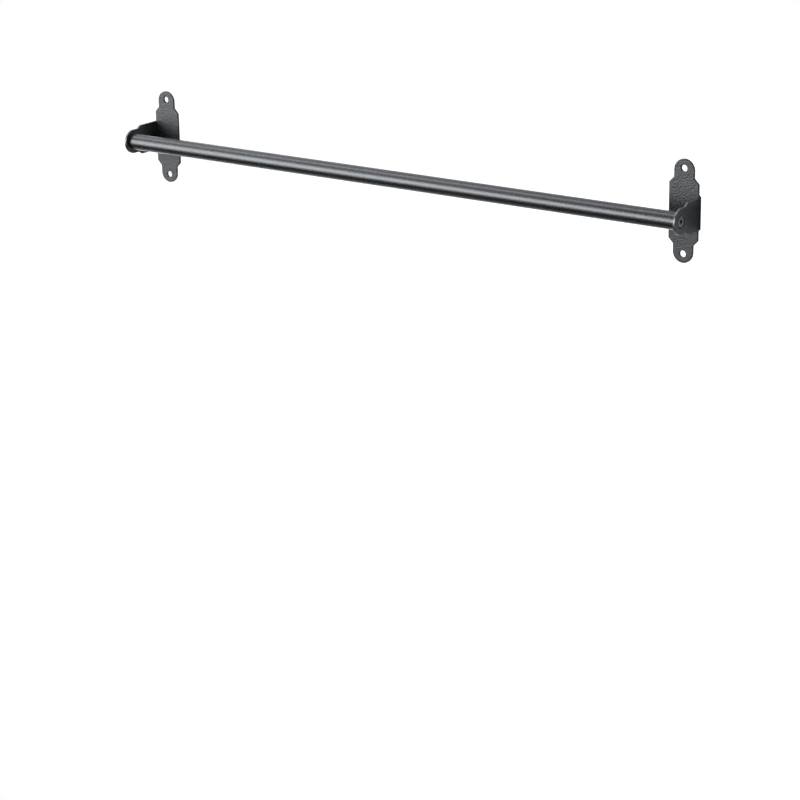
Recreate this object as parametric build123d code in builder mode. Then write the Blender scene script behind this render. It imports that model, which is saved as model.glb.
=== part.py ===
from build123d import *
import os

# Kitchen utensil rail: a round steel tube held in front of the wall by two folded sheet brackets.
# Millimetres. X runs along the rail, +Y points into the wall and +Z is up. The origin lies on the
# wall plane, in the middle of the four wall holes, so the whole rail is at negative Y.

os.makedirs("parts", exist_ok=True)

# Driving dimensions of the whole rail
overall_length = 570.0  # over the outer faces of the two flanges
bar_standoff = 32.0  # from the wall to the axis of the tube

# Folded sheet bracket
sheet_thickness = 2.0
bend_inner_radius = 0.5
edge_break = 0.3  # softened edge of the coated sheet
corner_radius = 1.2  # rounded corners of the blank
bend_tab = 1.0  # how far the bend's profile runs into the wall plate
plate_width = 26.5  # across the middle of the wall plate, up to the bend line
plate_height = 84.0  # over the tips of both ears
ear_radius = 9.0
ear_length = 15.0  # from the tip of an ear to its shoulder
wall_hole_diameter = 5.5
wall_hole_inset = 7.5  # from the tip of an ear to the middle of its hole
flange_height = 26.4
nose_margin = 3.5  # rim of the flange's nose around the tube
step_setback = 10.0  # from the tube's axis back to where the flange starts to step down
step_length = 3.8  # how far the slanted step runs towards the nose

# Tube
tube_diameter = 14.5
tube_wall = 1.2
tube_edge = 0.3  # broken edge of the sawn tube end

# Countersunk socket screw and the threaded plug that it draws against the flange
thread_diameter = 5.0
head_diameter = 9.6
head_recess = 0.4  # head face below the flange face
screw_length = 16.0
screw_point = 0.6  # chamfer at the end of the thread
socket_across_flats = 3.0
socket_depth = 2.2
plug_length = 15.0
plug_lead = 0.8  # chamfer that leads the plug into the tube
plug_press_clearance = 0.0  # the plug fills the bore

# Sizes that follow from the values above
half_length = overall_length / 2
bend_outer_radius = bend_inner_radius + sheet_thickness
bend_line_x = half_length - bend_outer_radius
flange_inner_x = half_length - sheet_thickness
plate_center_x = bend_line_x - plate_width / 2
half_width = plate_width / 2
ear_center_z = plate_height / 2 - ear_radius
shoulder_end_z = plate_height / 2 - ear_length
shoulder_start_z = shoulder_end_z - (half_width - ear_radius)  # the shoulders slope at 45 degrees
wall_hole_pitch = plate_height - 2 * wall_hole_inset
half_flange = flange_height / 2
nose_radius = tube_diameter / 2 + nose_margin
sink_mouth_radius = head_diameter / 2 + head_recess
sink_back_radius = sink_mouth_radius - sheet_thickness  # radius of the 90 degree sink at the plug
thread_radius = thread_diameter / 2
bore_radius = tube_diameter / 2 - tube_wall

# Planes: the wall side of the right plate, the outer face of the right flange and its inner face
plate_plane = Plane(origin=(plate_center_x, 0, 0), x_dir=(1, 0, 0), z_dir=(0, -1, 0))
flange_plane = Plane(origin=(half_length, -bar_standoff, 0), x_dir=(0, 1, 0), z_dir=(1, 0, 0))
plug_plane = flange_plane.offset(-sheet_thickness)
head_plane = flange_plane.offset(-head_recess)
screw_axis = Axis((half_length, -bar_standoff, 0), (1, 0, 0))

# Arm of the right bracket: the bend, with a tab that runs into the wall plate, and the flange
with BuildPart() as right_arm:
    with BuildSketch(Plane.XY.offset(-half_flange)):
        bend_center = (bend_line_x, -bend_outer_radius)
        with BuildLine():
            outside = CenterArc(bend_center, bend_outer_radius, 0, 90)
            inside = CenterArc(bend_center, bend_inner_radius, 0, 90)
            Line(outside @ 0, inside @ 0)
            Polyline(
                outside @ 1,
                (bend_line_x - bend_tab, 0),
                (bend_line_x - bend_tab, -sheet_thickness),
                inside @ 1,
            )
        make_face()
    extrude(amount=flange_height)

    # Flange: straight run, slanted step and a nose that is round about the tube's axis
    with BuildSketch(flange_plane):
        root_y = bar_standoff - bend_outer_radius
        with BuildLine():
            top = FilletPolyline(
                (root_y, half_flange),
                (step_setback, half_flange),
                (step_setback - step_length, nose_radius),
                (0, nose_radius),
                radius=corner_radius,
            )
            mirror(about=Plane.XZ)
            Line(top @ 0, (root_y, -half_flange))
            ThreePointArc(top @ 1, (-nose_radius, 0), (0, -nose_radius))
        make_face()
    extrude(amount=-sheet_thickness)

    inner_face, outer_face = right_arm.faces().filter_by(Axis.X).sort_by(Axis.X)[-2:]
    flange_rims = inner_face.outer_wire().edges() + outer_face.outer_wire().edges()
    chamfer(flange_rims.filter_by(Axis.Z, reverse=True), edge_break)

# Right bracket: the wall plate and its arm are one folded sheet
with BuildPart() as right_bracket:
    with BuildSketch(plate_plane):
        with BuildLine():
            FilletPolyline(
                (ear_radius, -ear_center_z),
                (ear_radius, -shoulder_end_z),
                (half_width, -shoulder_start_z),
                (half_width, shoulder_start_z),
                (ear_radius, shoulder_end_z),
                (ear_radius, ear_center_z),
                radius=corner_radius,
            )
            mirror(about=Plane.YZ)
            for end in (1, -1):
                ThreePointArc(
                    (ear_radius, end * ear_center_z),
                    (0, end * plate_height / 2),
                    (-ear_radius, end * ear_center_z),
                )
        make_face()
    extrude(amount=sheet_thickness)
    plate_rims = right_bracket.edges().filter_by(Axis.Y, reverse=True)
    chamfer(plate_rims, edge_break)
    add(right_arm.part)
    with Locations(plate_plane):
        with GridLocations(0, wall_hole_pitch, 1, 2):
            Hole(wall_hole_diameter / 2)
    with Locations(flange_plane):
        CounterSinkHole(thread_radius, sink_mouth_radius, counter_sink_angle=90)

# Tube between the two flanges
with BuildPart() as rail_tube:
    with BuildSketch(Plane.YZ.offset(-flange_inner_x)):
        with Locations((-bar_standoff, 0)):
            Circle(tube_diameter / 2)
            Circle(bore_radius, mode=Mode.SUBTRACT)
    extrude(amount=2 * flange_inner_x)
    chamfer(rail_tube.edges().filter_by(GeomType.CIRCLE), tube_edge)

# Threaded plug pressed into the right end of the tube
with BuildPart() as right_end_plug:
    with BuildSketch(plug_plane):
        Circle(bore_radius - plug_press_clearance)
    extrude(amount=-plug_length)
    chamfer(right_end_plug.edges().group_by(Axis.X)[0], plug_lead)
    with Locations(plug_plane):
        CounterSinkHole(thread_radius, sink_back_radius, counter_sink_angle=90)

# Countersunk screw with a hexagon socket, through the flange into the plug
with BuildPart() as right_screw:
    with BuildSketch(Plane(head_plane.origin, x_dir=(0, 0, 1), z_dir=(0, 1, 0))):
        with BuildLine():
            Polyline(
                (0, 0),
                (head_diameter / 2, 0),
                (thread_radius, thread_radius - head_diameter / 2),
                (thread_radius, screw_point - screw_length),
                (thread_radius - screw_point, -screw_length),
                (0, -screw_length),
                close=True,
            )
        make_face()
    revolve(axis=screw_axis)
    with BuildSketch(head_plane):
        RegularPolygon(socket_across_flats / 2, 6, major_radius=False)
    extrude(amount=-socket_depth, mode=Mode.SUBTRACT)

rail_tube.part.label = "rail_tube"
export_step(rail_tube.part, "parts/rail_tube.step")

# The left end mirrors the right one
for right_piece, name in (
    (right_bracket, "bracket"),
    (right_end_plug, "end_plug"),
    (right_screw, "screw"),
):
    with BuildPart() as left_piece:
        mirror(right_piece.part, about=Plane.YZ)
    right_piece.part.label = "right_" + name
    left_piece.part.label = "left_" + name
    export_step(right_piece.part, "parts/right_" + name + ".step")
    export_step(left_piece.part, "parts/left_" + name + ".step")
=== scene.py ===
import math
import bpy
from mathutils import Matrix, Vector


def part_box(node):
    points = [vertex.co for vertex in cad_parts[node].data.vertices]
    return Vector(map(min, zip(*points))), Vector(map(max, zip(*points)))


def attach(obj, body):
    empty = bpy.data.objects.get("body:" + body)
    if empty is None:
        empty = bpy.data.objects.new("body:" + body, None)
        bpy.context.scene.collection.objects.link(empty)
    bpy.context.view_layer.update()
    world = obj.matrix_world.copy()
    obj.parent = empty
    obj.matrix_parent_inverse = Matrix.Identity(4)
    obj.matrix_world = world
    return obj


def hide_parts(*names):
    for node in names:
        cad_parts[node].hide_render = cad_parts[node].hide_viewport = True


bl_info = {
    "name": "Kitchen Utensil Rail",
    "version": (1, 0, 0),
    "blender": (4, 5, 0),
    "location": "View3D > Sidebar > Rail",
    "description": "Dresses the packed frame of a wall-mounted kitchen utensil rail",
    "category": "Add Mesh",
}

import bmesh
import bpy
import numpy as np
from mathutils import Matrix, Vector

# The rail in metres. X runs along it, +Y points into the wall and +Z is up, with the wall at Y = 0.
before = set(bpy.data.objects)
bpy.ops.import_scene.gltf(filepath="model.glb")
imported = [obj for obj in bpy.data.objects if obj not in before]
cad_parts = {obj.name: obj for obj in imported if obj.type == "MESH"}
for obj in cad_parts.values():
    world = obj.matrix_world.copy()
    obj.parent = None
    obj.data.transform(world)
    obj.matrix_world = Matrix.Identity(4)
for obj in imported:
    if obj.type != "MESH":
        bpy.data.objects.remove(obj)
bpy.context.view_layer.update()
TUBE_LOW, TUBE_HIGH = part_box("rail_tube")
BRACKET_LOW, BRACKET_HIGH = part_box("right_bracket")
SCREW_LOW, SCREW_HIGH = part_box("right_screw")
PLUG_LOW, PLUG_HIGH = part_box("right_end_plug")
QUARTER = math.pi / 2
SIDES = (("right", False), ("left", True))  # and whether that side is mirrored

# Fixed steps of the meshes, and small lengths in metres
PLATE_ROWS = 17  # up the plate's straight part
PLATE_COLUMNS = 9
RING_ROWS = 6  # from a loop to the hole inside it
TUBE_POINTS = 25  # along the tube
SCREW_SEGMENTS = 96
THREAD_ROWS = 220
STAGE_ROWS = 9
MERGE_DISTANCE = 0.000002
SHARP_FROM = math.radians(35)  # on the screws
COLLAR_RUN = 0.002  # from the collar, where the nose's ring begins, to the step
WORN_AND_HIGHLIGHT_RUN = 0.006  # past the bend the rim's wear and painted highlight grow to their full share over this run
POINT_INSET = 0.0001  # the screw's flat end lies this far inside the thread's root

# Rim share of a point: a rubbed rim (on the brackets also a painted highlight), the flat beside it, a plain
# face, and a painted-shade hollow
RIM, NEAR_RIM, FACE, PAINTED_SHADE_HOLLOW = 1.0, 0.3, 0.0, -1.0

# The finishes' patterns. Scales count per grain or per metre, and ranges are of the noise that they stretch.
CELLS_PER_GRAIN = 0.8
NOISE_PER_GRAIN = 0.9
PATCHES_PER_METRE = 45.0
RUBS_PER_METRE = 160.0
NOISE_MIDDLE = 0.5
BUMP_RANGE = (0.1, 0.5)
FLECK_STRENGTH = 0.5
RUB_RANGE, RUB_SHARES = (0.40, 0.65), (0.35, 1.0)
TONE_RANGE = (0.75, 1.25)
TUBE_GRAIN_SHARE = 0.7  # the tube's grain is this much of the brackets'
PAINTED_SHADE_LEVEL = 0.1  # the share of its colour that a hollow keeps under its painted shade
RIM_ROUGHNESS = 0.25
GRAZING_POWER = 6.0
COAT_ROUGHNESS = 0.15
COAT_IOR = 2.0

WHITE = (1.0, 1.0, 1.0, 1.0)

# Heights on the wall, and how far off it is seen, in metres
LOW_WALL = (-0.10, -0.03)  # over these heights the wall goes from its low colour, a painted shade, to its own
BAND_FOOT, BAND_HEAD = (-0.070, -0.058), (-0.034, -0.026)  # soft borders of the glowing white band, a painted reflection
NEAR_WALL, NEAR_LIGHT = (0.0, 0.012), (0.1, 1.0)  # seen from this near, it keeps this share of its colour, as painted shade
TOUCH = 3  # seen from less than this many of the wall's gaps, as from a plate's back, it is clear

# Each soft box: name, power setting, turn to the left and rise in degrees, distance and size
SOFT_BOXES = (
    ("key_soft_box", "key_power", 34, 6, 2.0, (1.7, 1.68)),
    ("key_strip", "strip_power", 34, 6, 1.95, (1.7, 0.84)),
    ("top_strip", "top_power", 81, 55, 1.5, (0.36, 1.8)),
    ("upper_soft_box", "upper_power", 52, 44, 1.6, (0.6, 1.8)),
    ("fill_soft_box", "fill_power", -55, 14, 2.0, (1.2, 1.2)),
    ("back_soft_box", "back_power", -155, 20, 2.0, (1.5, 1.5)),
)


def length_property(name, description, default):
    """A length in metres that shows hundredths of a millimetre."""
    return bpy.props.FloatProperty(
        name=name, description=description, default=default, min=0.0, unit="LENGTH", precision=5
    )


def color_property(name, description, default):
    """A linear colour without alpha."""
    return bpy.props.FloatVectorProperty(
        name=name, description=description, default=default, subtype="COLOR", size=3, min=0.0, max=1.0
    )


def share_property(name, description, default):
    """A number from 0 to 1."""
    return bpy.props.FloatProperty(
        name=name, description=description, default=default, min=0.0, max=1.0, subtype="FACTOR"
    )


def angle_property(name, description, degrees):
    """An angle whose default is given in degrees."""
    return bpy.props.FloatProperty(
        name=name, description=description, default=math.radians(degrees), subtype="ANGLE"
    )


def power_property(name, description, default):
    """The power of a lamp in watts."""
    return bpy.props.FloatProperty(name=name, description=description, default=default, min=0.0, unit="POWER")


class RailTubeSettings(bpy.types.PropertyGroup):
    """Sizes of the round tube between the brackets."""

    length: length_property("Length", "Tube length between the two flanges", TUBE_HIGH.x - TUBE_LOW.x)
    diameter: length_property("Diameter", "Outside diameter of the tube", TUBE_HIGH.z - TUBE_LOW.z)
    bore: length_property("Bore", "Inside diameter of the tube", PLUG_HIGH.z - PLUG_LOW.z)
    standoff: length_property("Standoff", "From the wall to the tube's axis", -(TUBE_LOW.y + TUBE_HIGH.y) / 2)
    edge: length_property("End Rounding", "Radius of the coated edges at the tube's ends", 0.0003)
    segments: bpy.props.IntProperty(
        name="Segments", description="Faces round the tube", default=144, min=12, max=512
    )


class RailBracketSettings(bpy.types.PropertyGroup):
    """Sizes of the folded sheet brackets."""

    overall_length: length_property("Overall Length", "Over both flanges' outer faces", 2 * BRACKET_HIGH.x)
    plate_height: length_property("Plate Height", "Over the ears' tips", BRACKET_HIGH.z - BRACKET_LOW.z)
    plate_width: length_property("Plate Width", "Across the wall plate, up to the bend line", 0.0265)
    sheet: length_property("Sheet", "Thickness of the steel sheet", 0.002)
    bend_radius: length_property("Bend Radius", "Radius inside the bend", 0.0005)
    relief_radius: length_property("Relief Radius", "Hollow corner of the blank beside the bend", 0.002)
    corner_radius: length_property("Corner Radius", "Rounded corners of the blank", 0.0012)
    rim_radius: length_property("Rim Radius", "Softened edges under the coat", 0.00035)
    ear_radius: length_property("Ear Radius", "Round tip of each ear", 0.009)
    ear_length: length_property("Ear Length", "From an ear's tip to its shoulder", 0.015)
    hole_diameter: length_property("Hole Diameter", "Wall screw holes", 0.0055)
    hole_inset: length_property("Hole Inset", "From an ear's tip to the middle of its hole", 0.0075)
    hole_edge: length_property("Hole Edge", "Softened edges of the holes", 0.0004)
    flange_height: length_property("Flange Height", "Height of the flange at the bend", 0.0264)
    nose_radius: length_property(
        "Nose Radius", "Round nose about the tube's axis",
        TUBE_LOW.y - BRACKET_LOW.y + (TUBE_HIGH.z - TUBE_LOW.z) / 2,
    )
    step_setback: length_property("Step Setback", "From the tube's axis back to the start of the step", 0.010)
    step_length: length_property("Step Length", "Run of the slanted step", 0.0038)
    sink_radius: length_property("Sink Radius", "Mouth of the countersink", 0.0052)


class RailScrewSettings(bpy.types.PropertyGroup):
    """Sizes of the countersunk socket screws."""

    head_diameter: length_property("Head Diameter", "Countersunk head", SCREW_HIGH.z - SCREW_LOW.z)
    length: length_property("Length", "Whole screw", SCREW_HIGH.x - SCREW_LOW.x)
    recess: length_property("Recess", "Head face below the flange", BRACKET_HIGH.x - SCREW_HIGH.x)
    thread_diameter: length_property("Thread Diameter", "Over the thread's crests", 0.005)
    pitch: length_property("Pitch", "From one turn of the thread to the next", 0.0008)
    thread_depth: length_property("Thread Depth", "From crest to root", 0.00049)
    socket: length_property("Socket", "Across the flats of the hexagon socket", 0.003)
    socket_depth: length_property("Socket Depth", "Depth of the hexagon socket", 0.0022)
    point: length_property("Point", "Chamfer at the screw's end", 0.0006)
    edge: length_property("Edge", "Softened edge of the head and the socket", 0.00015)
    land: length_property("Land", "Straight edge of the head, above its cone", 0.0006)


class RailFinishSettings(bpy.types.PropertyGroup):
    """Colours and grain of the finishes."""

    bracket_color: color_property("Bracket Coat", "The brackets' black powder coat", (0.013, 0.0133, 0.0140))
    tube_color: color_property("Tube Coat", "The tube's black satin coat", (0.011, 0.0113, 0.0120))
    # The rubbed rims' lighter colour is wear and also a painted highlight along the flanges' rims
    worn_and_highlight_coat_color: color_property("Worn And Highlight Powder Coat", "Worn rims of the flanges", (0.085, 0.085, 0.087))
    worn_tube_color: color_property("Worn Tube Coat", "Worn ends of the tube", (0.03, 0.03, 0.032))
    screw_color: color_property("Black Oxide", "Blackened steel of the screws", (0.165, 0.158, 0.145))
    worn_screw_color: color_property("Worn Oxide", "Edges of the head and the socket", (0.30, 0.285, 0.26))
    zinc_color: color_property("Zinc", "Plated steel of the end plugs", (0.55, 0.55, 0.56))
    bracket_roughness: share_property("Bracket Roughness", "Gloss of the powder coat", 0.42)
    tube_roughness: share_property("Tube Roughness", "Gloss of the satin coat", 0.28)
    grain: length_property("Grain", "Width of one grain of the powder coat", 0.0010)
    grain_height: length_property("Grain Height", "How far the grain stands out", 0.00017)
    tube_grain_height: length_property("Tube Grain Height", "How far the tube's grain stands out", 0.00005)


class RailStageSettings(bpy.types.PropertyGroup):
    """Camera, lamps and floor."""

    camera_place: bpy.props.FloatVectorProperty(
        name="Camera Place", description="Where the camera stands", default=(1.17273, -1.60260, 0.45036),
        size=3, subtype="TRANSLATION", unit="LENGTH",
    )
    camera_turn: angle_property("Camera Turn", "Turn to the left of +Y", 36.488)
    camera_pitch: angle_property("Camera Pitch", "How far it looks down", 18.26)
    camera_roll: angle_property("Camera Roll", "Roll about the line of sight", -1.11)
    focal_share: bpy.props.FloatProperty(
        name="Focal Share", description="Focal length in widths of the sensor", default=2.9802, min=0.1
    )
    floor_drop: length_property("Floor Drop", "From the tube's axis down to the floor", 0.45)
    floor_front: length_property("Floor Front", "How far the floor reaches in front of the wall", 0.10)
    floor_back: length_property("Floor Back", "How far the floor reaches behind the wall", 2.2)
    floor_half_width: length_property("Floor Half Width", "How far the floor reaches to each side", 2.4)
    floor_color: color_property("Floor Colour", "Plain pale floor", (0.80, 0.80, 0.80))
    floor_lift: share_property("Floor Lift", "White added to the floor where it is looked at directly", 0.96)
    wall_gap: length_property("Wall Gap", "From the backs of the plates to the wall", 0.0002)
    wall_color: color_property("Wall Colour", "White wall that the rail hangs on", (0.88, 0.88, 0.88))
    low_wall_color: color_property("Low Wall Colour", "The shaded wall below the rail", (0.42, 0.42, 0.42))
    # A glowing band, seen only in gloss: a painted reflection
    wall_glow: share_property("Wall Glow", "White of the band below the rail that shows in gloss", 0.9)
    room_level: share_property("Room Level", "Brightness of the room round the object", 0.01)
    gloss_level: share_property("Gloss Level", "Brightness of the room where it shows in gloss", 0.05)
    lamp_color: color_property("Lamp Colour", "Daylight of the soft boxes", (0.92, 0.955, 1.0))
    key_power: power_property("Key Power", "Tall soft box at the front left", 31.0)
    strip_power: power_property("Strip Power", "Long strip inside the key's area", 18.0)
    top_power: power_property("Top Power", "Long strip overhead", 7.5)
    upper_power: power_property("Upper Power", "Wide soft box between the key and the top strip", 4.0)
    fill_power: power_property("Fill Power", "Soft box at the front right", 7.5)
    back_power: power_property("Back Power", "Soft box behind the wall, for the backs of the plates", 25.0)


def arc(center, radius, start, stop, steps):
    """A circular arc: the centre plus the radius times (cos a, sin a), with a evenly from start to stop.
    Gives the points and the unit rays from the centre."""
    angle = np.linspace(start, stop, steps + 1)
    ray = np.stack([np.cos(angle), np.sin(angle)], axis=1)
    return np.asarray(center) + radius * ray, ray


def rounded_path(corners, radius, steps):
    """A path along straight runs whose inner corners are tangent arcs of one radius.
    Each arc's centre stands one radius square to the arriving run, on the side that the path turns to, and
    each of its points is the centre less that radius along the turning normal. Gives the points and the unit
    normals on the path's left."""
    corners = np.asarray(corners, float)
    run = np.diff(corners, axis=0)
    run /= np.linalg.norm(run, axis=1, keepdims=True)
    left = np.stack([-run[:, 1], run[:, 0]], axis=1)
    before, after = run[:-1], run[1:]
    turn = np.arctan2(before[:, 0] * after[:, 1] - before[:, 1] * after[:, 0], (before * after).sum(axis=1))
    side = np.sign(turn)[:, None]
    center = corners[1:-1] - before * radius * np.tan(np.abs(turn) / 2)[:, None] + left[:-1] * radius * side
    angle = turn[:, None] * np.linspace(0, 1, steps + 1)
    cosine, sine = np.cos(angle)[..., None], np.sin(angle)[..., None]
    normal = left[:-1, None] * cosine + before[:, None] * -sine
    points = center[:, None] - side[:, None] * radius * normal
    points = np.concatenate([corners[:1], points.reshape(-1, 2), corners[-1:]])
    normals = np.concatenate([left[:1], normal.reshape(-1, 2), left[-1:]])
    return points, normals


def grid_cells(rows, columns, start=0):
    """The cells of a grid whose points are numbered row by row: each is four neighbours, in turn."""
    number = start + np.arange(rows * columns).reshape(rows, columns)
    corners = [number[:-1, :-1], number[1:, :-1], number[1:, 1:], number[:-1, 1:]]
    return np.stack(corners, axis=-1).reshape(-1, 4)


def mesh_from_grids(name, grids, mirrored=False):
    """Joins grids of points, each rows by columns by X, Y, Z and rim share, into one closed mesh. Every cell
    of four neighbours is a face, edges that meet are merged, and the faces are turned outwards. A mirrored
    mesh has its X negated. The rim shares go into an attribute that the finish reads."""
    points, quads, start = [], [], 0
    for grid in grids:
        rows, columns = grid.shape[:2]
        points.append(grid.reshape(-1, 4))
        quads.append(grid_cells(rows, columns, start))
        start += rows * columns
    points = np.concatenate(points)
    if mirrored:
        points[:, 0] *= -1
    mesh = bpy.data.meshes.new(name)
    mesh.from_pydata(points[:, :3].tolist(), [], np.concatenate(quads).tolist())
    rim = mesh.attributes.new("rim", "FLOAT", "POINT")
    rim.data.foreach_set("value", points[:, 3].astype(np.float32))
    shell = bmesh.new()
    shell.from_mesh(mesh)
    bmesh.ops.remove_doubles(shell, verts=shell.verts, dist=MERGE_DISTANCE)
    bmesh.ops.recalc_face_normals(shell, faces=shell.faces)
    shell.to_mesh(mesh)
    shell.free()
    mesh.shade_smooth()
    return mesh


def place_piece(name, mesh, material, nodes, sharp_from=None):
    """Adds the mesh as a piece that stands for the frame's nodes and rides with them. Edges that turn by more
    than sharp_from are shaded sharp."""
    if sharp_from is not None:
        mesh.set_sharp_from_angle(angle=sharp_from)
    mesh.materials.append(material)
    piece = bpy.data.objects.new(name, mesh)
    bpy.context.scene.collection.objects.link(piece)
    shading = piece.modifiers.new("Even Shading", "WEIGHTED_NORMAL")
    shading.keep_sharp = True
    shading.weight = 100
    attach(piece, "root")
    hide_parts(*nodes)


def with_rim(points, rim):
    """Adds each point's rim share as a fourth value: 1 on a rim, 0 on a face and -1 in a hollow with painted
    shade.
    """
    share = np.broadcast_to(np.asarray(rim, float), points.shape[:-1])
    return np.concatenate([points, share[..., None]], axis=-1)


def rim_profile(radius, thickness, steps=5):
    """The edge of a sheet: a quarter turn from one face to the edge and one from the edge to the other face.
    Gives how far each point lies inside the outline, its depth, and its rim share."""
    angle = np.linspace(0, QUARTER, steps)
    inset, depth = radius * (1 - np.sin(angle)), radius * (1 - np.cos(angle))
    insets = np.concatenate([inset, inset[::-1]])
    depths = np.concatenate([depth, thickness - depth[::-1]])
    shares = np.concatenate([np.sin(angle), np.sin(angle)[::-1]])
    return insets, depths, shares


class FoldedBlank:
    """The flat blank of the right bracket and the way it folds.
    The blank's own coordinates are s, along the rail from the bend line towards the nose, z up, and the depth
    through the sheet from its wall side."""

    def __init__(self, bracket, tube):
        self.b = bracket
        self.outer_radius = bracket.bend_radius + bracket.sheet
        self.bend_line = bracket.overall_length / 2 - self.outer_radius
        self.bend_length = QUARTER * (bracket.bend_radius + bracket.sheet / 2)
        self.half_width = bracket.plate_width / 2
        self.half_flange = bracket.flange_height / 2
        self.relief_z = self.half_flange + bracket.relief_radius
        self.axis_s = self.along_flange(tube.standoff)
        self.ear_center = bracket.plate_height / 2 - bracket.ear_radius
        self.hole_z = bracket.plate_height / 2 - bracket.hole_inset
        self.shoulder_end = bracket.plate_height / 2 - bracket.ear_length
        self.shoulder_start = self.shoulder_end - (self.half_width - bracket.ear_radius)
        self.ear_base = self.shoulder_end + 0.5 * bracket.corner_radius
        self.collar_s = self.along_flange(tube.standoff - bracket.step_setback - COLLAR_RUN)

    def along_flange(self, distance):
        """The blank's s at a distance from the wall."""
        return self.bend_length + distance - self.outer_radius

    def fold(self, flat, depth):
        """Places flat points on the folded sheet. Short of the bend line a point keeps its place on the
        wall plate, past the bend it lies on the flange, and between them it goes round the bend's centre by
        the same share of a quarter turn. Its radius there is the outer radius less its depth."""
        s, z = flat[..., 0], flat[..., 1]
        turn = QUARTER * np.clip(s / self.bend_length, 0, 1)
        radius = self.outer_radius - depth
        x = self.bend_line + np.minimum(s, 0) + radius * np.sin(turn)
        y = radius * np.cos(turn) - self.outer_radius - np.maximum(s - self.bend_length, 0)
        return np.stack(np.broadcast_arrays(x, y, z), axis=-1)

    def ear_side(self, steps=6):
        """Right side of the plate's upper half, from the ear's base over the shoulder down to the bend."""
        radius, wide = self.b.ear_radius - self.half_width, 0.0
        corners = [
            (radius, self.ear_base),
            (radius, self.shoulder_end),
            (wide, self.shoulder_start),
            (wide, self.relief_z),
        ]
        return rounded_path(corners, self.b.corner_radius, steps)

    def ear_tip(self, steps=40):
        """Left over right round the upper ear, from base to base."""
        center = (-self.half_width, self.ear_center)
        points, rays = arc(center, self.b.ear_radius, math.pi, 0, steps)
        left = np.array([[-self.half_width - self.b.ear_radius, self.ear_base]])
        right = np.array([[-self.half_width + self.b.ear_radius, self.ear_base]])
        return np.concatenate([left, points, right]), np.concatenate([rays[:1], rays, rays[-1:]])

    def flange_edge(self, steps=14):
        """Upper edge from the plate's side through the hollow relief corner and the bend to the collar."""
        center = (self.b.relief_radius, self.relief_z)
        points, rays = arc(center, self.b.relief_radius, math.pi, 1.5 * math.pi, steps)
        s = np.linspace(self.b.relief_radius, self.bend_length, 4)[1:]
        s = np.append(s, self.collar_s)
        straight = np.stack([s, np.full_like(s, self.half_flange)], axis=1)
        up = np.broadcast_to([0.0, 1.0], straight.shape)
        return np.concatenate([points, straight]), np.concatenate([-rays, up])

    def nose_edge(self, steps=28):
        """Upper edge from the collar over the slanted step and round the nose to its tip."""
        step_start = self.axis_s - self.b.step_setback
        step_end = step_start + self.b.step_length
        corners = [
            (self.collar_s, self.half_flange),
            (step_start, self.half_flange),
            (step_end, self.b.nose_radius),
            (self.axis_s, self.b.nose_radius),
        ]
        points, normals = rounded_path(corners, self.b.corner_radius, 6)
        tip, rays = arc((self.axis_s, 0), self.b.nose_radius, QUARTER, 0, steps)
        return np.concatenate([points, tip[1:]]), np.concatenate([normals, rays[1:]])


def mirrored_down(points):
    """The same points below the middle, in the opposite order."""
    return points[::-1] * [1, -1]


def flat_grid(s, z):
    """A grid of flat points from their s and their z, either of which may be a single row or column."""
    return np.stack(np.broadcast_arrays(s, z), axis=-1)


def ring_to_hole(loop, center, radius):
    """A flat ring from a closed loop to a circle: each row is an even share of the way along the straight
    line from a point of the loop towards the centre."""
    away = loop - center
    circle = center + radius * away / np.linalg.norm(away, axis=1, keepdims=True)
    share = np.linspace(0, 1, RING_ROWS)[:, None, None]
    return loop * (1 - share) + circle * share


def hole_wall(loop, center, radii, depths, fold):
    """The wall of a hole: a profile of radii and depths carried round the centre on the rays to the loop."""
    away = loop - center
    ray = away / np.linalg.norm(away, axis=1, keepdims=True)
    flat = center + ray[:, None] * np.asarray(radii)[None, :, None]
    return fold(flat, np.asarray(depths)[None, :])


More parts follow.
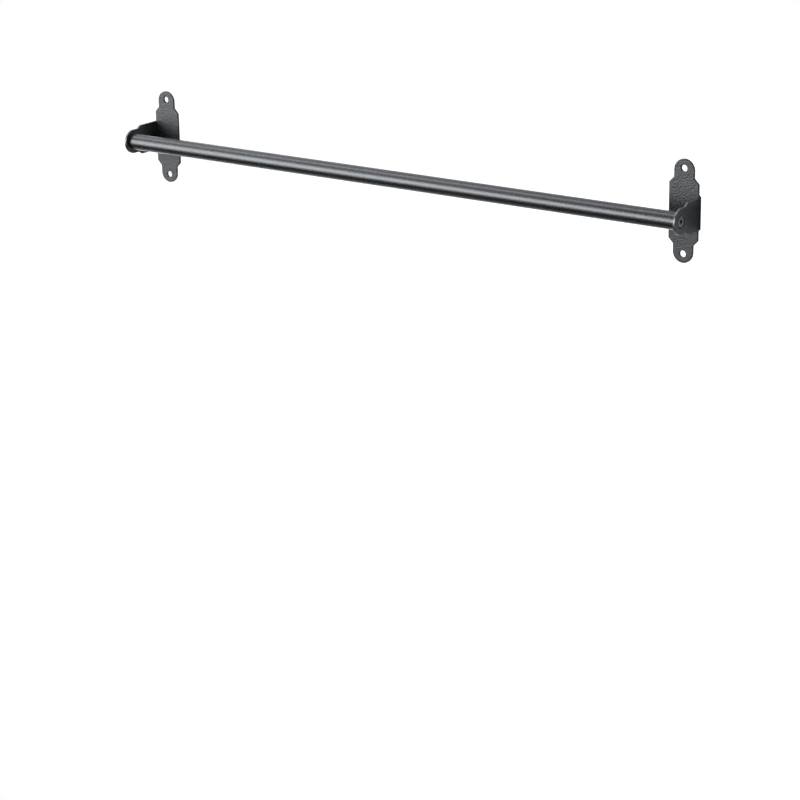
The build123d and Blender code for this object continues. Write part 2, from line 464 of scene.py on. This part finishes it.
def bracket_grids(bracket, tube):
    """Surface of the right bracket. Each face of the sheet is a row of ruled patches between the blank's
    inset outline and its holes, and the rim is the rounded profile carried along the outline, all folded
    together."""
    blank = FoldedBlank(bracket, tube)
    rim = bracket.rim_radius
    center_s = -blank.half_width

    # Upper outline, piece by piece, with the plate's left side as the mirror image of its right side
    rows = np.linspace(-1, 1, PLATE_ROWS)
    upper_rows = rows[rows >= 0]
    left = np.stack([np.full_like(upper_rows, 2 * center_s), blank.relief_z * upper_rows], axis=1)
    left_normal = np.broadcast_to([-1.0, 0.0], left.shape)
    side, side_normal = blank.ear_side()
    flipped = side[::-1] * [-1, 1] + [2 * center_s, 0]
    flipped_normal = side_normal[::-1] * [-1, 1]
    tip, tip_normal = blank.ear_tip()
    edge, edge_normal = blank.flange_edge()
    nose, nose_normal = blank.nose_edge()
    upper = np.concatenate([left[:-1], flipped, tip[1:-1], side, edge[1:], nose[1:]])
    upper_normal = np.concatenate(
        [left_normal[:-1], flipped_normal, tip_normal[1:-1], side_normal, edge_normal[1:], nose_normal[1:]]
    )
    outline = np.concatenate([upper, mirrored_down(upper)[1:]])
    outline_normal = np.concatenate([upper_normal, mirrored_down(upper_normal)[1:]])

    # Rounded rim along the whole outline, rubbed where hands touch it, which is on the flange, and lighter
    # there also as a painted highlight
    insets, depths, shares = rim_profile(rim, bracket.sheet)
    flat = outline[:, None] - outline_normal[:, None] * insets[None, :, None]
    reached = np.clip((outline[:, :1] - blank.bend_length) / WORN_AND_HIGHLIGHT_RUN, 0, 1)
    grids = [with_rim(blank.fold(flat, depths[None, :]), shares[None, :] * reached)]

    # Curves that the patches share
    columns = np.linspace(-1, 1, PLATE_COLUMNS)
    side_in = side - side_normal * rim
    edge_in = edge - edge_normal * rim
    nose_in = nose - nose_normal * rim
    tip_in = tip - tip_normal * rim
    half_plate = blank.half_width - rim
    base_s = center_s + columns * (side_in[0, 0] - center_s)
    base = np.stack([base_s, np.full(PLATE_COLUMNS, blank.ear_base)], axis=1)
    ear_loop = np.concatenate([tip_in, base[::-1][1:]])
    shoulder = flat_grid(center_s + columns * (side_in[:, :1] - center_s), side_in[:, 1:])
    middle = flat_grid(center_s + columns * half_plate, blank.relief_z * rows[:, None])
    strip = flat_grid(edge_in[:, :1], edge_in[:, 1:] * rows)
    collar = strip[-1]
    nose_loop = np.concatenate([collar, nose_in[1:], mirrored_down(nose_in)[1:]])

    hole_center = np.array([center_s, blank.hole_z])
    hole_radius = bracket.hole_diameter / 2
    hole_insets, hole_depths = rim_profile(bracket.hole_edge, bracket.sheet)[:2]
    hole_radii = hole_radius + hole_insets
    ear = ring_to_hole(ear_loop, hole_center, hole_radius + bracket.hole_edge)

    # The countersink's mouth is softened by two slopes, and its cone runs on to the sheet's back
    axis = np.array([blank.axis_s, 0.0])
    mouth, soft = bracket.sink_radius, bracket.hole_edge / 2
    back_radius = mouth - bracket.sheet
    sink_radii = [mouth + soft, mouth + 0.3 * soft, mouth - soft, back_radius]
    sink_depths = [0, 0.25 * soft, soft, bracket.sheet]
    # The countersink's slope and cone get painted shade, a dark ring round the screw's head
    sink_shares = [FACE, 0.5 * PAINTED_SHADE_HOLLOW, PAINTED_SHADE_HOLLOW, PAINTED_SHADE_HOLLOW]

    up, down = np.array([1, 1]), np.array([1, -1])
    for depth, nose_hole in ((0.0, sink_radii[0]), (bracket.sheet, back_radius)):
        nose_ring = ring_to_hole(nose_loop, axis, nose_hole)
        patches = [ear * up, shoulder * up, ear * down, shoulder * down, middle, strip, nose_ring]
        grids += [with_rim(blank.fold(patch, depth), FACE) for patch in patches]
    for way in (up, down):
        wall = hole_wall(ear_loop * way, hole_center * way, hole_radii, hole_depths, blank.fold)
        grids.append(with_rim(wall, FACE))
    wall = hole_wall(nose_loop, axis, sink_radii, sink_depths, blank.fold)
    grids.append(with_rim(wall, sink_shares))
    return grids


def tube_grids(tube):
    """Surface of the tube: a closed profile of the wall, with rounded edges, turned about the tube's axis."""
    half, edge = tube.length / 2, tube.edge
    outer, inner = tube.diameter / 2, tube.bore / 2
    outside = arc((half - edge, outer - edge), edge, QUARTER, 0, 6)[0]
    inside = arc((half - edge, inner + edge), edge, 0, -QUARTER, 6)[0]
    end = np.concatenate([outside, inside])
    along = np.linspace(-half + edge, half - edge, TUBE_POINTS)[1:-1]
    top = np.stack([along, np.full_like(along, outer)], axis=1)
    floor = np.stack([along[::-1], np.full_like(along, inner)], axis=1)
    profile = np.concatenate([top, end, floor, end[::-1] * [-1, 1], top[:1]])
    turn = np.linspace(0, 2 * math.pi, tube.segments + 1)
    x, radius = profile[:, :1], profile[:, 1:]
    across = -tube.standoff + radius * np.cos(turn)
    points = np.stack(np.broadcast_arrays(x, across, radius * np.sin(turn)), axis=-1)
    return [with_rim(points, FACE)]


def screw_grids(screw, tube, flange_x):
    """Surface of the right screw. The head and the point are a profile turned about the axis, the socket
    blends from a circle to a hexagon, and the thread's radius is the crest less its depth times a triangle
    wave of the place along the screw, in pitches, less the share of a full turn. The socket and the cone
    are hollows with painted shade."""
    face = flange_x - screw.recess
    head, shank = screw.head_diameter / 2, screw.thread_diameter / 2
    land = head - screw.land
    flats = screw.socket / 2
    turn = np.linspace(0, 2 * math.pi, SCREW_SEGMENTS + 1)
    hexagon = flats / np.cos((turn + math.pi / 6) % (math.pi / 3) - math.pi / 6)

    # Each row: place along the axis, radius, how much of the hexagon is added to the radius, and rim share
    edge, bevel, below = screw.edge, 0.3 * screw.edge, 3 * screw.edge
    rows = [
        # The socket's rows and the cone's rows under the head get painted shade
        (-screw.socket_depth - 0.5 * flats, 0.0, 0.0, PAINTED_SHADE_HOLLOW),
        (-screw.socket_depth, 0.0, 1.0, PAINTED_SHADE_HOLLOW),
        (-below, 0.0, 1.0, PAINTED_SHADE_HOLLOW),
        (-edge, 0.0, 1.0, FACE),
        (-bevel, bevel, 1.0, RIM),
        (0.0, edge, 1.0, NEAR_RIM),
        (0.0, land - edge, 0.0, NEAR_RIM),
        (-bevel, land - bevel, 0.0, RIM),
        (-edge, land, 0.0, NEAR_RIM),
        (-below, land, 0.0, PAINTED_SHADE_HOLLOW),
        (shank - head, shank, 0.0, PAINTED_SHADE_HOLLOW),
    ]
    x, added, share, rim = np.array(rows).T[..., None]
    top = turned_about_tube(face + x, added + share * hexagon, turn, tube)

    # Threaded shank, faded in under the head
    place = np.linspace(shank - head, screw.point - screw.length, THREAD_ROWS)[:, None]
    fade = np.clip((shank - head - place) / screw.pitch, 0, 1)
    wave = (place / screw.pitch - turn / (2 * math.pi)) % 1
    depth = screw.thread_depth * fade * (1 - np.abs(2 * wave - 1))
    thread = turned_about_tube(face + place, shank - depth, turn, tube)

    # Chamfered point, from the thread's last row to the flat end and its middle
    end_radius = np.array([[shank - screw.thread_depth - POINT_INSET], [0.0]])
    end = turned_about_tube(face - screw.length, end_radius, turn, tube)
    point = np.concatenate([thread[-1:], end])
    return [with_rim(top, rim), with_rim(thread, FACE), with_rim(point, FACE)]


def turned_about_tube(x, radius, turn, tube):
    """Points at a place along the tube's axis and a radius from it, at each angle of turn."""
    across = -tube.standoff + radius * np.sin(turn)
    return np.stack(np.broadcast_arrays(x, across, radius * np.cos(turn)), axis=-1)


class NodeBench:
    """Adds nodes to one tree in reading order, from left to right."""

    def __init__(self, tree):
        self.tree = tree
        tree.nodes.clear()

    def node(self, kind, column, row=0.0, settings=(), **inputs):
        """A node with its settings and inputs. An input given as a socket is linked, and a value is set."""
        made = self.tree.nodes.new(kind)
        made.location = (220 * column, -240 * row)
        for name, value in dict(settings).items():
            setattr(made, name, value)
        for name, value in inputs.items():
            numbered = name[0] == "i" and name[1:].isdigit()
            socket = made.inputs[int(name[1:]) if numbered else name]
            if isinstance(value, bpy.types.NodeSocket):
                self.tree.links.new(value, socket)
            else:
                socket.default_value = value
        return made

    def math(self, operation, first, second, column, row=0.0, clamp=False, third=0.0):
        """One sum on two values, or on three."""
        settings = {"operation": operation, "use_clamp": clamp}
        return self.node("ShaderNodeMath", column, row, settings, i0=first, i1=second, i2=third).outputs[0]

    def product(self, first, second, column, row=0.0):
        """One value times another."""
        return self.math("MULTIPLY", first, second, column, row)

    def scaled(self, vector, scale, column, row=0.0):
        """A vector or colour times a value."""
        settings = {"operation": "SCALE"}
        return self.node("ShaderNodeVectorMath", column, row, settings, i0=vector, Scale=scale).outputs[0]

    def mapped(self, value, from_range, to_range, column, row=0.0):
        """A value stretched evenly from one range to another, and kept inside it."""
        names = ("From Min", "From Max", "To Min", "To Max")
        ranges = dict(zip(names, (*from_range, *to_range)))
        return self.node("ShaderNodeMapRange", column, row, Value=value, **ranges).outputs[0]

    def mix(self, share, first, second, column, row=0.0):
        """A share of the way from one value to another."""
        settings = {"data_type": "FLOAT"}
        return self.node("ShaderNodeMix", column, row, settings, i0=share, i2=first, i3=second).outputs[0]

    def mix_color(self, share, first, second, column, row=0.0):
        """A share of the way from one colour to another."""
        settings = {"data_type": "RGBA"}
        return self.node("ShaderNodeMix", column, row, settings, i0=share, i6=first, i7=second).outputs[2]

    def noise(self, vector, scale, detail, roughness, column, row=0.0):
        """A noise of one value, spread about its middle."""
        return self.node(
            "ShaderNodeTexNoise", column, row, Vector=vector, Scale=scale, Detail=detail, Roughness=roughness
        ).outputs[0]


def new_group(name, inputs, outputs):
    """An empty shader group that takes a vector and named values with defaults, and gives named values."""
    tree = bpy.data.node_groups.new(name, "ShaderNodeTree")
    tree.interface.new_socket("Vector", in_out="INPUT", socket_type="NodeSocketVector")
    for socket_name, default in inputs.items():
        socket = tree.interface.new_socket(socket_name, in_out="INPUT", socket_type="NodeSocketFloat")
        socket.default_value = default
    for socket_name in outputs:
        tree.interface.new_socket(socket_name, in_out="OUTPUT", socket_type="NodeSocketFloat")
    return tree


def sprayed_grain_group():
    """Grain of a sprayed coat. Height is rounded cells times a finer noise, and runs about 0 to 1. Tone is
    1 plus the finer noise's flecks plus broad patches, and runs about 0.8 to 1.2."""
    tree = new_group("Sprayed Grain", {"Grain": 0.001, "Patches": 0.5}, ("Height", "Tone"))
    bench = NodeBench(tree)
    given = bench.node("NodeGroupInput", 0)
    per_grain = bench.math("DIVIDE", 1.0, given.outputs["Grain"], 1)
    place = bench.scaled(given.outputs["Vector"], per_grain, 2)
    smooth = {"feature": "SMOOTH_F1"}
    cells = bench.node(
        "ShaderNodeTexVoronoi", 3, 0, smooth, Vector=place, Scale=CELLS_PER_GRAIN, Smoothness=0.7
    )
    fine = bench.noise(place, NOISE_PER_GRAIN, 2.5, 0.55, 3, 1)
    broad = bench.noise(given.outputs["Vector"], PATCHES_PER_METRE, 3.0, 0.6, 3, 2)
    bumps = bench.math("SUBTRACT", 1.0, cells.outputs["Distance"], 4)
    height = bench.mapped(bench.product(bumps, fine, 5), BUMP_RANGE, (0.0, 1.0), 6)
    specks = bench.math("SUBTRACT", fine, NOISE_MIDDLE, 4, 1)
    flecks = bench.math("MULTIPLY_ADD", specks, FLECK_STRENGTH, 5, 1, third=1.0)
    spread = bench.math("SUBTRACT", broad, NOISE_MIDDLE, 4, 2)
    patches = bench.product(spread, given.outputs["Patches"], 5, 2)
    tone = bench.math("ADD", flecks, patches, 6, 1)
    bench.node("NodeGroupOutput", 7, Height=height, Tone=tone)
    return tree


def worn_and_highlight_edge_group():
    """Where an edge is rubbed or gets a painted highlight: the rim share times a noise that breaks it up,
    times the amount.
    """
    tree = new_group("Handled Edge", {"Rim": 0.0, "Amount": 0.5}, ("Mask",))
    bench = NodeBench(tree)
    given = bench.node("NodeGroupInput", 0)
    rubbed = bench.noise(given.outputs["Vector"], RUBS_PER_METRE, 3.0, 0.6, 1)
    broken = bench.mapped(rubbed, RUB_RANGE, RUB_SHARES, 2)
    on_rim = bench.product(broken, given.outputs["Rim"], 3)
    mask = bench.math("MULTIPLY", on_rim, given.outputs["Amount"], 4, 0, True)
    bench.node("NodeGroupOutput", 5, Mask=mask)
    return tree


def finish_material(
    name, color, edge_color, roughness, grain, grain_height, wear_and_highlight,
    patches=0.5, spread=0.05, rim_gloss=0.0, grazing_gloss=0.0, metallic=0.0, ior=1.5,
):
    """A sprayed or plated finish. Its colour and roughness follow the grain's tone, and the grain's height
    goes through a bump. The rims are lighter where rubbed, and on the brackets also as a painted highlight,
    and smoother, and the hollows' colour is darker as painted shade. The weight of the clear coat is the rim
    share times rim_gloss, or where the surface is seen at a grazing angle a high power of the facing value
    times grazing_gloss, whichever is more. A finish with neither has no clear coat."""
    groups = shared_groups()
    material = bpy.data.materials.new(name)
    material.use_nodes = True
    bench = NodeBench(material.node_tree)
    place = bench.node("ShaderNodeTexCoord", 0).outputs["Object"]
    rim = bench.node("ShaderNodeAttribute", 0, 2, {"attribute_name": "rim"}).outputs["Fac"]
    sprayed = bench.node(
        "ShaderNodeGroup", 1, 0, {"node_tree": groups["grain"]}, Vector=place, Grain=grain, Patches=patches
    )
    height, tone = sprayed.outputs["Height"], sprayed.outputs["Tone"]
    worn_and_highlight = bench.node(
        "ShaderNodeGroup", 1, 2, {"node_tree": groups["edge"]}, Vector=place, Rim=rim, Amount=wear_and_highlight
    ).outputs["Mask"]

    # Colour: the coat's own by the tone, painted shade in the hollows, and the edge colour, for wear and a
    # painted highlight, where a rim is rubbed
    # Painted shade: a hollow keeps only a small share of its colour
    painted_shade = bench.mapped(rim, (PAINTED_SHADE_HOLLOW, FACE), (PAINTED_SHADE_LEVEL, 1.0), 1, 1)
    coat = bench.scaled(tuple(color), bench.product(tone, painted_shade, 2, 2), 3)
    shade = bench.mix_color(worn_and_highlight, coat, (*edge_color, 1.0), 4)

    # Roughness, gloss and grain
    face_roughness = bench.mapped(tone, TONE_RANGE, (roughness - spread, roughness + spread), 2, 1)
    rough = bench.mix(rim, face_roughness, RIM_ROUGHNESS, 4, 1)
    bump = bench.node("ShaderNodeBump", 4, 2, Height=height, Strength=1.0, Distance=grain_height).outputs[0]
    linked = {"Base Color": shade, "Roughness": rough, "Normal": bump}
    if rim_gloss or grazing_gloss:
        facing = bench.node("ShaderNodeLayerWeight", 1, 4, Blend=0.5).outputs["Facing"]
        grazing = bench.product(bench.math("POWER", facing, GRAZING_POWER, 2, 4), grazing_gloss, 3, 4)
        linked["Coat Weight"] = bench.math("MAXIMUM", bench.product(rim, rim_gloss, 3, 3), grazing, 4, 3)
    fixed = {"Metallic": metallic, "IOR": ior, "Coat Roughness": COAT_ROUGHNESS, "Coat IOR": COAT_IOR}
    surface = bench.node("ShaderNodeBsdfPrincipled", 5, **linked, **fixed)
    bench.node("ShaderNodeOutputMaterial", 6, Surface=surface.outputs[0])
    return material


def shared_groups():
    """The two effect groups, made once."""
    groups = bpy.data.node_groups
    return {
        "grain": groups.get("Sprayed Grain") or sprayed_grain_group(),
        "edge": groups.get("Handled Edge") or worn_and_highlight_edge_group(),
    }


class RAIL_OT_build_tube(bpy.types.Operator):
    """Builds the coated tube"""

    bl_idname = "rail.build_tube"
    bl_label = "Build Tube"

    def execute(self, context):
        scene = context.scene
        finish = scene.rail_finish
        coat = finish_material(
            "satin_black_tube_coat", finish.tube_color, finish.worn_tube_color, finish.tube_roughness,
            grain=TUBE_GRAIN_SHARE * finish.grain, grain_height=finish.tube_grain_height,
            wear_and_highlight=0.3, grazing_gloss=1.0, ior=1.7,
        )
        mesh = mesh_from_grids("coated_tube", tube_grids(scene.rail_tube))
        place_piece("coated_tube", mesh, coat, ["rail_tube"])
        return {"FINISHED"}


class RAIL_OT_build_brackets(bpy.types.Operator):
    """Builds the two folded brackets"""

    bl_idname = "rail.build_brackets"
    bl_label = "Build Brackets"

    def execute(self, context):
        scene = context.scene
        finish = scene.rail_finish
        # The brackets' rim colour is wear and also a painted highlight
        coat = finish_material(
            "matt_black_powder_coat", finish.bracket_color, finish.worn_and_highlight_coat_color, finish.bracket_roughness,
            grain=finish.grain, grain_height=finish.grain_height, wear_and_highlight=1.0, rim_gloss=0.45, ior=1.6,
        )
        for side, mirrored in SIDES:
            name = f"folded_bracket_{side}"
            mesh = mesh_from_grids(name, bracket_grids(scene.rail_bracket, scene.rail_tube), mirrored)
            place_piece(name, mesh, coat, [f"{side}_bracket"])
        return {"FINISHED"}


class RAIL_OT_build_screws(bpy.types.Operator):
    """Builds the two countersunk socket screws"""

    bl_idname = "rail.build_screws"
    bl_label = "Build Screws"

    def execute(self, context):
        scene = context.scene
        finish = scene.rail_finish
        oxide = finish_material(
            "black_oxide_steel", finish.screw_color, finish.worn_screw_color, roughness=0.38,
            grain=0.0003, grain_height=0.00001, wear_and_highlight=0.8, patches=0.8, spread=0.08, metallic=0.7,
        )
        flange_x = scene.rail_bracket.overall_length / 2
        for side, mirrored in SIDES:
            name = f"socket_screw_{side}"
            grids = screw_grids(scene.rail_screw, scene.rail_tube, flange_x)
            mesh = mesh_from_grids(name, grids, mirrored)
            place_piece(name, mesh, oxide, [f"{side}_screw"], SHARP_FROM)
        return {"FINISHED"}


class RAIL_OT_finish_plugs(bpy.types.Operator):
    """Gives the pressed-in end plugs their zinc plating"""

    bl_idname = "rail.finish_plugs"
    bl_label = "Finish Plugs"

    def execute(self, context):
        finish = context.scene.rail_finish
        zinc = finish_material(
            "zinc_plated_steel", finish.zinc_color, finish.zinc_color, roughness=0.38,
            grain=0.0012, grain_height=0.00001, wear_and_highlight=0.0, patches=0.8, spread=0.08, metallic=1.0,
        )
        for side, _ in SIDES:
            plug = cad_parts[f"{side}_end_plug"]
            for material_slot in plug.material_slots:
                material_slot.material = zinc
        return {"FINISHED"}


class RAIL_OT_build_stage(bpy.types.Operator):
    """Sets up the floor, the room, the lamps and the camera"""

    bl_idname = "rail.build_stage"
    bl_label = "Build Stage"

    def execute(self, context):
        scene = context.scene
        stage = scene.rail_stage
        build_floor(stage)
        build_wall(stage)
        build_room(scene, stage)
        middle = Vector((0.0, -scene.rail_tube.standoff, 0.0))
        for name, power, turn, rise, distance, size in SOFT_BOXES:
            add_soft_box(name, middle, turn, rise, distance, size, getattr(stage, power), stage.lamp_color)
        add_camera(scene, stage)
        scene.view_settings.view_transform = "Standard"
        return {"FINISHED"}


def stage_sheet(name, corner, first_side, second_side, material):
    """A flat grid of the stage: the corner plus even shares of two sides."""
    share = np.linspace(0, 1, STAGE_ROWS)
    along, across = np.meshgrid(share, share, indexing="ij")
    points = corner + along[..., None] * first_side + across[..., None] * second_side
    mesh = bpy.data.meshes.new(name)
    mesh.from_pydata(points.reshape(-1, 3).tolist(), [], grid_cells(STAGE_ROWS, STAGE_ROWS).tolist())
    mesh.materials.append(material)
    sheet = bpy.data.objects.new(name, mesh)
    bpy.context.scene.collection.objects.link(sheet)


def build_floor(stage):
    """A plain pale floor, lifted to white where it is looked at directly, so that only a shadow shows."""
    material = bpy.data.materials.new("pale_floor")
    material.use_nodes = True
    bench = NodeBench(material.node_tree)
    seen = bench.node("ShaderNodeLightPath", 0).outputs["Is Camera Ray"]
    lift = bench.product(seen, stage.floor_lift, 1)
    painted = bench.node("ShaderNodeBsdfDiffuse", 1, 1, Color=(*stage.floor_color, 1.0)).outputs[0]
    glow = bench.node("ShaderNodeEmission", 2, Color=WHITE, Strength=lift).outputs[0]
    both = bench.node("ShaderNodeAddShader", 3, i0=painted, i1=glow).outputs[0]
    bench.node("ShaderNodeOutputMaterial", 4, Surface=both)
    corner = np.array([-stage.floor_half_width, -stage.floor_front, -stage.floor_drop])
    wide = np.array([2 * stage.floor_half_width, 0, 0])
    deep = np.array([0, stage.floor_front + stage.floor_back, 0])
    stage_sheet("pale_floor", corner, wide, deep, material)


def build_wall(stage):
    """The wall that the rail hangs on. It shows in the coat's gloss and throws light back, with the rail's
    shadow on it, but it is clear to the camera, from behind and at the backs of the plates, so that the rail
    stands on plain white and its back is lit. Its colour is greyer below the rail as painted shade, and
    darker the nearer it is seen from, as painted shade like the narrow shadow beside a plate. A soft white
    band below the rail glows in gloss only, as a painted reflection."""
    material = bpy.data.materials.new("white_wall")
    material.use_nodes = True
    bench = NodeBench(material.node_tree)

    # Where the wall is clear
    path = bench.node("ShaderNodeLightPath", 0)
    touching = bench.math("LESS_THAN", path.outputs["Ray Length"], TOUCH * stage.wall_gap, 1, 1)
    behind = bench.node("ShaderNodeNewGeometry", 0, 2).outputs["Backfacing"]
    seen = bench.math("MAXIMUM", path.outputs["Is Camera Ray"], behind, 1)
    clear = bench.math("MAXIMUM", seen, touching, 2)

    # Its colour, with painted shade by the height and by how far off it is seen
    place = bench.node("ShaderNodeTexCoord", 0, 3).outputs["Object"]
    level = bench.node("ShaderNodeSeparateXYZ", 1, 3, Vector=place).outputs["Z"]
    rise = bench.mapped(level, LOW_WALL, (0.0, 1.0), 2, 3)
    wall_and_shade = bench.mix_color(rise, (*stage.low_wall_color, 1.0), (*stage.wall_color, 1.0), 3, 3)
    away = bench.mapped(path.outputs["Ray Length"], NEAR_WALL, NEAR_LIGHT, 2, 2)
    shaded = bench.scaled(wall_and_shade, away, 4, 2)
    flat = bench.node("ShaderNodeBsdfDiffuse", 5, 2, Color=shaded).outputs[0]

    # The white band that glows in the gloss only, a painted reflection
    foot = bench.mapped(level, BAND_FOOT, (0.0, 1.0), 2, 4)
    head = bench.mapped(level, BAND_HEAD, (1.0, 0.0), 2, 5)
    band = bench.product(bench.product(foot, head, 3, 4), stage.wall_glow, 4, 4)
    glow = bench.product(path.outputs["Is Glossy Ray"], band, 5, 4)
    lit = bench.node("ShaderNodeEmission", 6, 4, Color=WHITE, Strength=glow).outputs[0]

    painted = bench.node("ShaderNodeAddShader", 7, 2, i0=flat, i1=lit).outputs[0]
    open_air = bench.node("ShaderNodeBsdfTransparent", 7, 3).outputs[0]
    surface = bench.node("ShaderNodeMixShader", 8, i0=clear, i1=painted, i2=open_air).outputs[0]
    bench.node("ShaderNodeOutputMaterial", 9, Surface=surface)
    corner = np.array([-stage.floor_half_width, stage.wall_gap, -stage.floor_drop])
    wide = np.array([2 * stage.floor_half_width, 0, 0])
    tall = np.array([0, 0, 2 * stage.floor_half_width])
    stage_sheet("white_wall", corner, wide, tall, material)


def build_room(scene, stage):
    """A room that is white where it is looked at directly or through glass, and dim where it lights and
    where it shows in gloss, as a room behind the camera is."""
    world = bpy.data.worlds.new("studio_room")
    world.use_nodes = True
    scene.world = world
    bench = NodeBench(world.node_tree)
    path = bench.node("ShaderNodeLightPath", 0)
    clear = bench.math("MAXIMUM", path.outputs["Is Camera Ray"], path.outputs["Is Transmission Ray"], 1)
    dim = bench.mix(path.outputs["Is Glossy Ray"], stage.room_level, stage.gloss_level, 1, 1)
    level = bench.mix(clear, dim, 1.0, 2)
    white = bench.node("ShaderNodeBackground", 3, Color=WHITE, Strength=level).outputs[0]
    bench.node("ShaderNodeOutputWorld", 4, Surface=white)


def add_soft_box(name, target, turn, rise, distance, size, power, color):
    """A flat lamp that faces the target from a distance, at a turn from the front towards the left and a rise
    above level, both in degrees."""
    turn, rise = math.radians(turn), math.radians(rise)
    direction = Vector((-math.sin(turn) * math.cos(rise), -math.cos(turn) * math.cos(rise), math.sin(rise)))
    lamp = bpy.data.lights.new(name, "AREA")
    lamp.shape = "RECTANGLE"
    lamp.size, lamp.size_y = size
    lamp.energy = power
    lamp.color = color
    box = bpy.data.objects.new(name, lamp)
    box.location = target + direction * distance
    box.rotation_mode = "QUATERNION"
    box.rotation_quaternion = (-direction).to_track_quat("-Z", "Y")
    bpy.context.scene.collection.objects.link(box)


def add_camera(scene, stage):
    """A camera turned about Z, pitched down and rolled about its line of sight."""
    data = bpy.data.cameras.new("photo_camera")
    data.sensor_width = 36.0
    data.lens = stage.focal_share * data.sensor_width
    data.clip_start, data.clip_end = 0.01, 50.0
    camera = bpy.data.objects.new("photo_camera", data)
    scene.collection.objects.link(camera)
    turned = Matrix.Rotation(stage.camera_turn, 4, "Z")
    pitched = turned @ Matrix.Rotation(QUARTER - stage.camera_pitch, 4, "X")
    rolled = pitched @ Matrix.Rotation(stage.camera_roll, 4, "Z")
    camera.matrix_world = Matrix.Translation(stage.camera_place) @ rolled
    scene.camera = camera


class RAIL_PT_sidebar(bpy.types.Panel):
    """Lists the rail's pieces and their sizes"""

    bl_idname = "RAIL_PT_sidebar"
    bl_label = "Kitchen Utensil Rail"
    bl_space_type = "VIEW_3D"
    bl_region_type = "UI"
    bl_category = "Rail"

    def draw(self, context):
        layout = self.layout
        for operator, group in BUILD_STEPS:
            box = layout.box()
            box.operator(operator.bl_idname)
            settings = getattr(context.scene, group)
            for name in settings.bl_rna.properties.keys():
                if name not in ("rna_type", "name"):
                    box.prop(settings, name)


SETTINGS = {
    "rail_tube": RailTubeSettings,
    "rail_bracket": RailBracketSettings,
    "rail_screw": RailScrewSettings,
    "rail_finish": RailFinishSettings,
    "rail_stage": RailStageSettings,
}
BUILD_STEPS = (
    (RAIL_OT_build_tube, "rail_tube"),
    (RAIL_OT_build_brackets, "rail_bracket"),
    (RAIL_OT_build_screws, "rail_screw"),
    (RAIL_OT_finish_plugs, "rail_finish"),
    (RAIL_OT_build_stage, "rail_stage"),
)


def register():
    for name, group in SETTINGS.items():
        bpy.utils.register_class(group)
        setattr(bpy.types.Scene, name, bpy.props.PointerProperty(type=group))
    for operator, _ in BUILD_STEPS:
        bpy.utils.register_class(operator)
    bpy.utils.register_class(RAIL_PT_sidebar)


def unregister():
    bpy.utils.unregister_class(RAIL_PT_sidebar)
    for operator, _ in reversed(BUILD_STEPS):
        bpy.utils.unregister_class(operator)
    for name, group in reversed(SETTINGS.items()):
        delattr(bpy.types.Scene, name)
        bpy.utils.unregister_class(group)


def main():
    """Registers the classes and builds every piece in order."""
    register()
    bpy.ops.rail.build_tube()
    bpy.ops.rail.build_brackets()
    bpy.ops.rail.build_screws()
    bpy.ops.rail.finish_plugs()
    bpy.ops.rail.build_stage()


if __name__ == "__main__":
    main()
